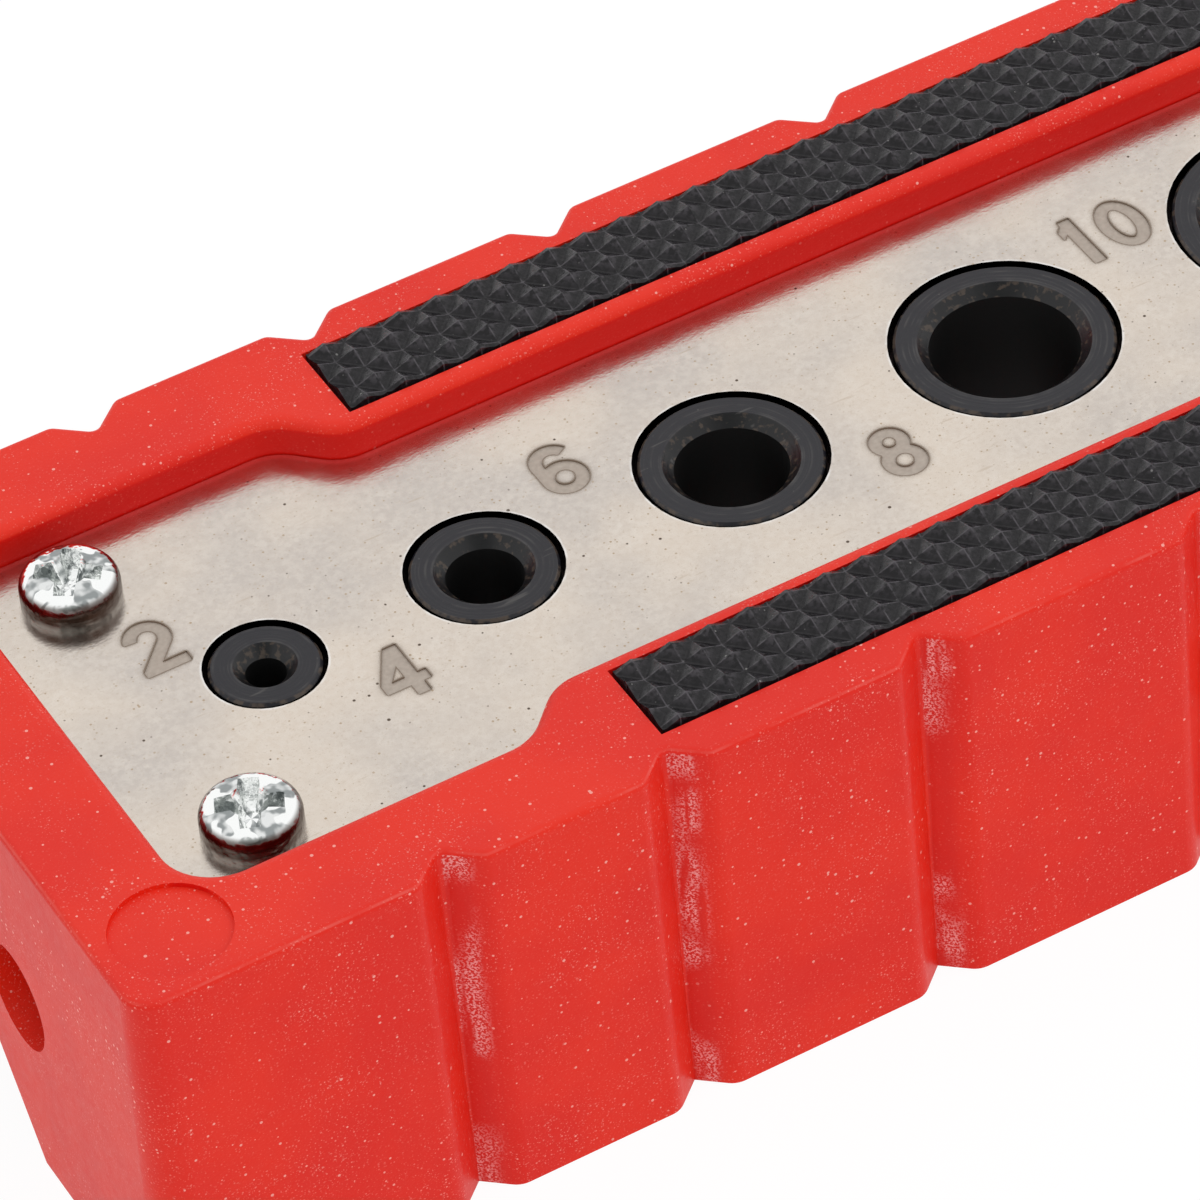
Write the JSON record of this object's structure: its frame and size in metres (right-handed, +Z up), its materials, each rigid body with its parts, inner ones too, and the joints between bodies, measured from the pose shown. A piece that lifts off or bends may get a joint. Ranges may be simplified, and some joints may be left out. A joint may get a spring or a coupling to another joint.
{
  "type": "drill guide",
  "caption": "Red plastic drill guide block with hardened drill bushes under a steel cover plate, alignment notches along both sides and a V groove underneath.",
  "frame": {"origin": "middle of the underside", "axes": "+X along the row towards the larger drill bushes, +Y across the block, +Z up out of the bushes"},
  "size_m": [0.1268, 0.0418, 0.0244],
  "materials": {
    "red_plastic": "satin moulded red with fine pale specks",
    "plate_steel": "dull light grey sheet with etched numbers",
    "black_steel": "hardened and blackened, turned",
    "bright_steel": "bright polished",
    "strip_rubber": "matte black with a diamond knurl"
  },
  "bodies": {
    "root": {"body": "red_plastic", "guide_plate": "plate_steel", "drill_bush_1": "black_steel", "drill_bush_2": "black_steel", "drill_bush_3": "black_steel", "drill_bush_4": "black_steel", "drill_bush_5": "black_steel", "drill_bush_6": "black_steel", "plate_screw_1": "bright_steel", "plate_screw_2": "bright_steel", "plate_screw_3": "bright_steel", "plate_screw_4": "bright_steel", "grip_strip_near": "strip_rubber", "grip_strip_far": "strip_rubber"}
  },
  "joints": []
}
